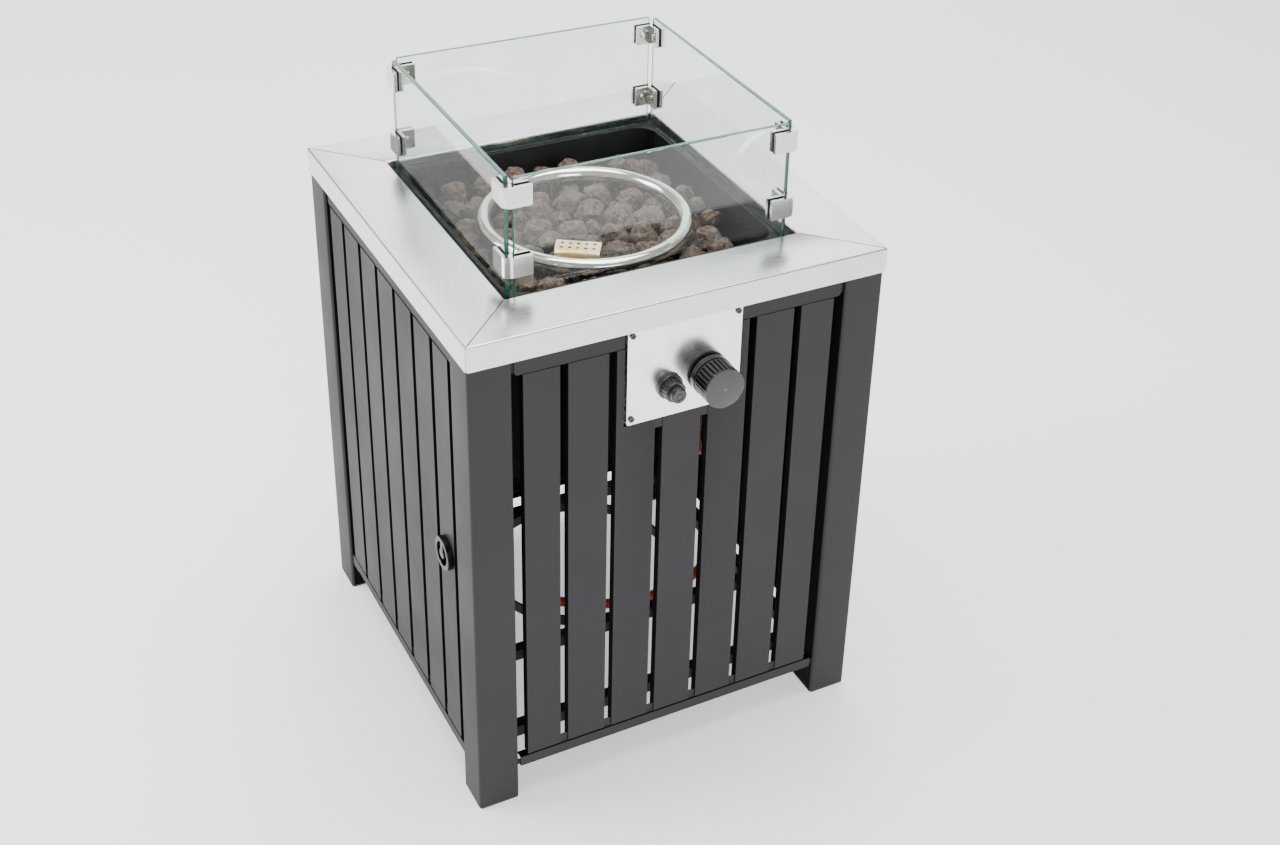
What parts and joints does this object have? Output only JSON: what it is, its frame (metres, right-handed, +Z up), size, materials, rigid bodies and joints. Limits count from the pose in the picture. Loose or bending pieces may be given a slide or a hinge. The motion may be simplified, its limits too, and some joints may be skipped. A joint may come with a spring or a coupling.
{
  "type": "gas fire pit table",
  "caption": "Square gas fire pit on legs with a lava-rock burner, stainless surround, clamped glass guard, latched door, control knob and igniter.",
  "frame": {"origin": "on the floor, under the middle of the whole part's outline, which the knob and the latch widen by a little", "axes": "+Z up, -Y towards the front with the knob, +X to the right as seen from the front"},
  "size_m": [0.5132, 0.5482, 0.7809],
  "materials": {
    "surround_steel": "brushed stainless steel, fine straight brushing along each side",
    "powder_coat": "satin dark grey powder coat",
    "foot_plastic": "moulded dark grey plastic, matt",
    "black_steel": "black heat-proof paint, matt",
    "zinc_steel": "zinc plated steel",
    "latch_plastic": "black moulding, gloss",
    "control_steel": "polished stainless steel, mirror-like",
    "valve_casting": "die-cast and drawn aluminium, satin",
    "brass_fittings": "machined brass, slightly dulled",
    "turned_steel": "turned steel, bright",
    "knob_plastic": "dark grey heat-proof plastic, satin",
    "ring_steel": "polished stainless tube, straw tint near the flame",
    "electrode_ceramic": "white ceramic",
    "lava_stone": "porous brown-grey lava rock, rough",
    "pane_glass": "clear toughened glass, green at the edges",
    "clamp_metal": "satin-polished aluminium casting",
    "liner_rubber": "thin black rubber",
    "hose_rubber": "orange gas hose, satin"
  },
  "bodies": {
    "root": {"back_panel": "powder_coat", "base_cross_bars": "black_steel", "base_side_bars": "black_steel", "bottle_hoop": "black_steel", "burner_ring": "ring_steel", "control_plate": "control_steel", "control_screws": "zinc_steel", "feed_pipe": "turned_steel", "fire_pan": "black_steel", "foot_caps": "foot_plastic", "front_panel": "powder_coat", "gas_pipe": "valve_casting", "hinge_brackets": "zinc_steel", "hinge_pins": "zinc_steel", "hose": "hose_rubber", "hose_coupling": "brass_fittings", "igniter_body": "knob_plastic", "igniter_cap": "knob_plastic", "igniter_spring": "turned_steel", "ignition_electrode": "electrode_ceramic", "injector": "brass_fittings", "inlet_coupling": "brass_fittings", "latch_keeper": "zinc_steel", "lava_bed": "lava_stone", "lava_rocks": "lava_stone", "leg_back_left": "powder_coat", "leg_back_right": "powder_coat", "leg_front_left": "powder_coat", "leg_front_right": "powder_coat", "panel_clips": "zinc_steel", "pilot_bracket": "zinc_steel", "pilot_burner": "brass_fittings", "pilot_cover": "ring_steel", "pipe_nuts": "brass_fittings", "right_panel": "powder_coat", "ring_stands": "zinc_steel", "surround_back": "surround_steel", "surround_front": "surround_steel", "surround_left": "surround_steel", "surround_right": "surround_steel", "thermocouple": "brass_fittings", "top_rails": "black_steel", "valve_body": "valve_casting", "valve_bracket": "zinc_steel", "valve_spring": "turned_steel"},
    "door": {"door_panel": "powder_coat"},
    "latch": {"latch_handle": "latch_plastic", "latch_cam": "zinc_steel"},
    "control_press": {"press_collar": "turned_steel"},
    "control_knob": {"control_knob": "knob_plastic", "control_stem": "turned_steel"},
    "igniter_button": {"igniter_button": "knob_plastic"},
    "glass_guard": {"glass_front": "pane_glass", "glass_right": "pane_glass", "glass_back": "pane_glass", "glass_left": "pane_glass", "clamp_bodies": "clamp_metal", "clamp_liners": "liner_rubber", "clamp_screws": "zinc_steel"}
  },
  "joints": [
    {"name": "door_hinge", "type": "hinge", "parent": "root", "child": "door", "pos_m": [-0.2439, 0.2091, 0.33], "axis": [0, 0, -1], "range_deg": [0, 110]},
    {"name": "latch_turn", "type": "hinge", "parent": "door", "child": "latch", "pos_m": [-0.25, -0.1501, 0.325], "axis": [-1, 0, 0], "range_deg": [0, 90]},
    {"name": "control_press", "type": "slide", "parent": "root", "child": "control_press", "axis": [0, 1, 0], "range_m": [0, 0.0035], "stiffness_N_per_m": 500, "deforming": ["valve_spring"]},
    {"name": "control_turn", "type": "hinge", "parent": "control_press", "child": "control_knob", "pos_m": [0.0316, -0.26, 0.5392], "axis": [0, -1, 0], "range_deg": [0, 180]},
    {"name": "igniter_press", "type": "slide", "parent": "root", "child": "igniter_button", "axis": [0, 1, 0], "range_m": [0, 0.004], "stiffness_N_per_m": 400, "deforming": ["igniter_spring"]},
    {"name": "glass_lift", "type": "slide", "parent": "root", "child": "glass_guard", "axis": [0, 0, 1], "range_m": [0, 0.15]}
  ]
}
